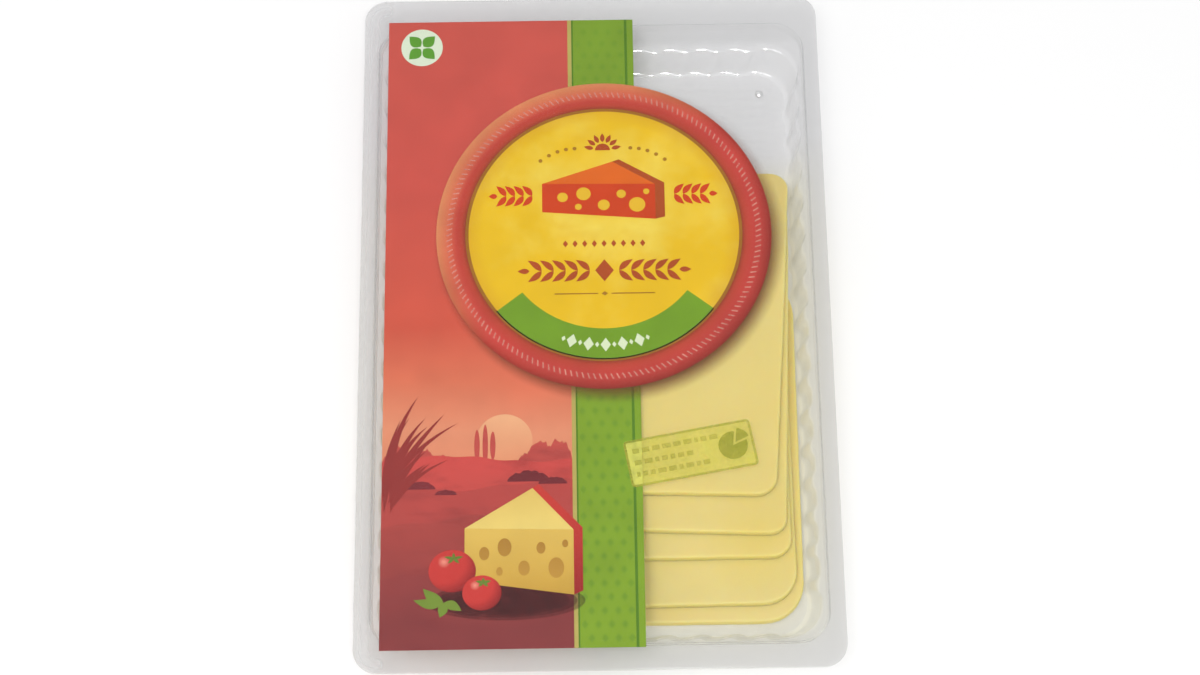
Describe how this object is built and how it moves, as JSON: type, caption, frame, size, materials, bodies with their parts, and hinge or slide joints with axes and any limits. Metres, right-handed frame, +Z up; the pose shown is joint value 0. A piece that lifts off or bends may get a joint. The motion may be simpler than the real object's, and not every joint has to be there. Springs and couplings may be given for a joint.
{
  "type": "pack of sliced cheese",
  "caption": "Flat clear plastic pack of sliced cheese: a formed tray with fluted walls, a printed clear lid film, and fanned rectangular slices inside.",
  "frame": {"origin": "middle of the base, on the surface that the pack lies on", "axes": "+Z up through the lid, +Y along the pack towards the end where the slices stop short, +X to the right seen from above with +Y away"},
  "size_m": [0.14, 0.2154, 0.0156],
  "materials": {
    "clear_tray": "clear formed plastic sheet, glossy, slightly hazy where it is bent",
    "printed_film": "clear film with printed fields of red, green and yellow, glossy",
    "cheese": "smooth pale yellow cut cheese, soft sheen, slightly translucent"
  },
  "bodies": {
    "root": {"tray": "clear_tray", "lid_film": "printed_film", "slice_1": "cheese", "slice_2": "cheese", "slice_3": "cheese", "slice_4": "cheese", "slice_5": "cheese"}
  },
  "joints": []
}
